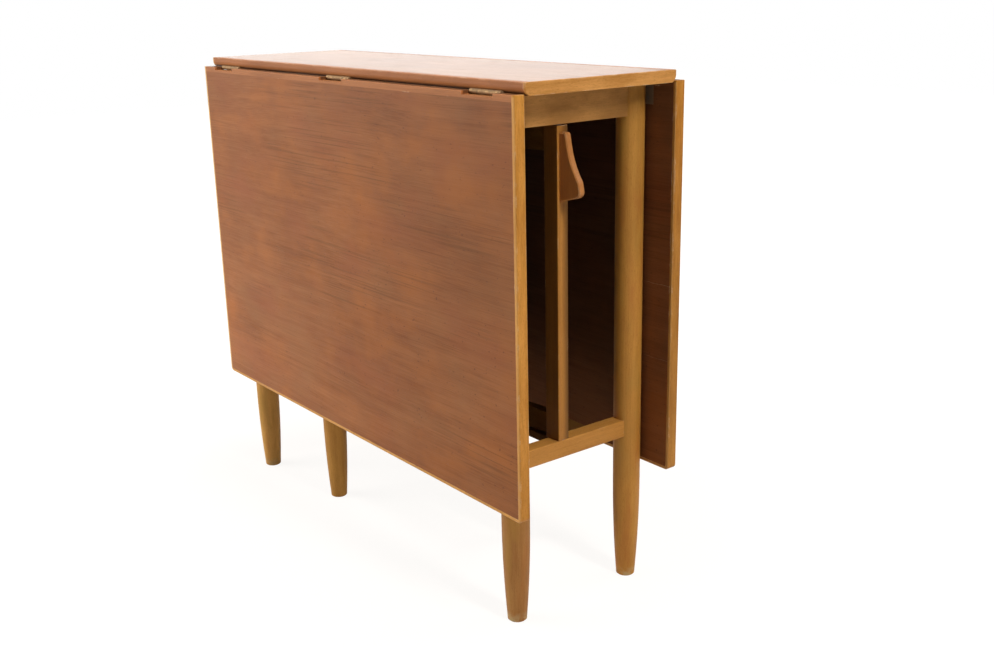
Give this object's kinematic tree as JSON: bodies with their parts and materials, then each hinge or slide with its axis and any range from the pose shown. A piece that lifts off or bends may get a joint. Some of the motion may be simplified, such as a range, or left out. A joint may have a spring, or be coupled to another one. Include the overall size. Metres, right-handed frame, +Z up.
{
  "type": "drop-leaf gateleg table",
  "caption": "Folded drop-leaf table: narrow fixed top, hinged leaves hanging at both sides, and gate legs on pivoting posts that swing out to hold the leaves up.",
  "frame": {"origin": "on the floor under the centre of the folded table", "axes": "+X along the table to the near end shown in the picture, -Y to the leaf shown at the front, +Z up"},
  "size_m": [0.838, 0.283, 0.73],
  "materials": {
    "teak_veneer": "satin oiled teak veneer",
    "teak_solid": "satin oiled solid teak",
    "beech": "satin lacquered beech, stained golden brown",
    "hinge_metal": "dulled brass plate",
    "screw_steel": "dull zinc-plated steel"
  },
  "bodies": {
    "frame": {"apron_far": "beech", "apron_near": "beech", "centre_board": "beech", "corner_blocks": "beech", "frame_dowels": "beech", "gate_washers": "screw_steel", "hinge_front_far_fixed": "hinge_metal", "hinge_front_middle_fixed": "hinge_metal", "hinge_front_near_fixed": "hinge_metal", "hinge_pins": "hinge_metal", "hinge_rear_far_fixed": "hinge_metal", "hinge_rear_middle_fixed": "hinge_metal", "hinge_rear_near_fixed": "hinge_metal", "hinge_top_screws": "screw_steel", "leg_front_far": "beech", "leg_front_near": "beech", "leg_rear_far": "beech", "leg_rear_near": "beech", "stretcher_far": "beech", "stretcher_near": "beech", "top_lipping_far": "beech", "top_lipping_near": "beech", "top_nosing_front": "teak_solid", "top_nosing_rear": "teak_solid", "top_panel": "teak_veneer", "top_rail": "beech", "top_screws": "screw_steel"},
    "leaf_front": {"hinge_front_far_moving": "hinge_metal", "hinge_front_middle_moving": "hinge_metal", "hinge_front_near_moving": "hinge_metal", "leaf_front_edge_band": "beech", "leaf_front_hinge_lipping": "teak_solid", "leaf_front_panel": "teak_veneer", "leaf_front_screws": "screw_steel", "leaf_front_stop": "beech"},
    "leaf_rear": {"hinge_rear_far_moving": "hinge_metal", "hinge_rear_middle_moving": "hinge_metal", "hinge_rear_near_moving": "hinge_metal", "leaf_rear_edge_band": "beech", "leaf_rear_hinge_lipping": "teak_solid", "leaf_rear_panel": "teak_veneer", "leaf_rear_screws": "screw_steel", "leaf_rear_stop": "beech"},
    "gate_front": {"gate_front_bottom_arm": "beech", "gate_front_handle": "teak_solid", "gate_front_handle_screws": "screw_steel", "gate_front_leg": "beech", "gate_front_pins": "screw_steel", "gate_front_post": "beech", "gate_front_top_arm": "beech"},
    "gate_rear": {"gate_rear_bottom_arm": "beech", "gate_rear_handle": "teak_solid", "gate_rear_handle_screws": "screw_steel", "gate_rear_leg": "beech", "gate_rear_pins": "screw_steel", "gate_rear_post": "beech", "gate_rear_top_arm": "beech"}
  },
  "joints": [
    {"name": "leaf_front_hinge", "type": "hinge", "parent": "frame", "child": "leaf_front", "pos_m": [0, -0.12655, 0.71505], "axis": [-1, 0, 0], "range_deg": [0, 90]},
    {"name": "leaf_rear_hinge", "type": "hinge", "parent": "frame", "child": "leaf_rear", "pos_m": [0, 0.12655, 0.71505], "axis": [1, 0, 0], "range_deg": [0, 90]},
    {"name": "gate_front_pivot", "type": "hinge", "parent": "frame", "child": "gate_front", "pos_m": [0.362, -0.0265, 0.2473], "axis": [0, 0, 1], "range_deg": [-2.7, 2.7]},
    {"name": "gate_rear_pivot", "type": "hinge", "parent": "frame", "child": "gate_rear", "pos_m": [-0.362, 0.0265, 0.2473], "axis": [0, 0, 1], "range_deg": [0, 5.5]}
  ]
}
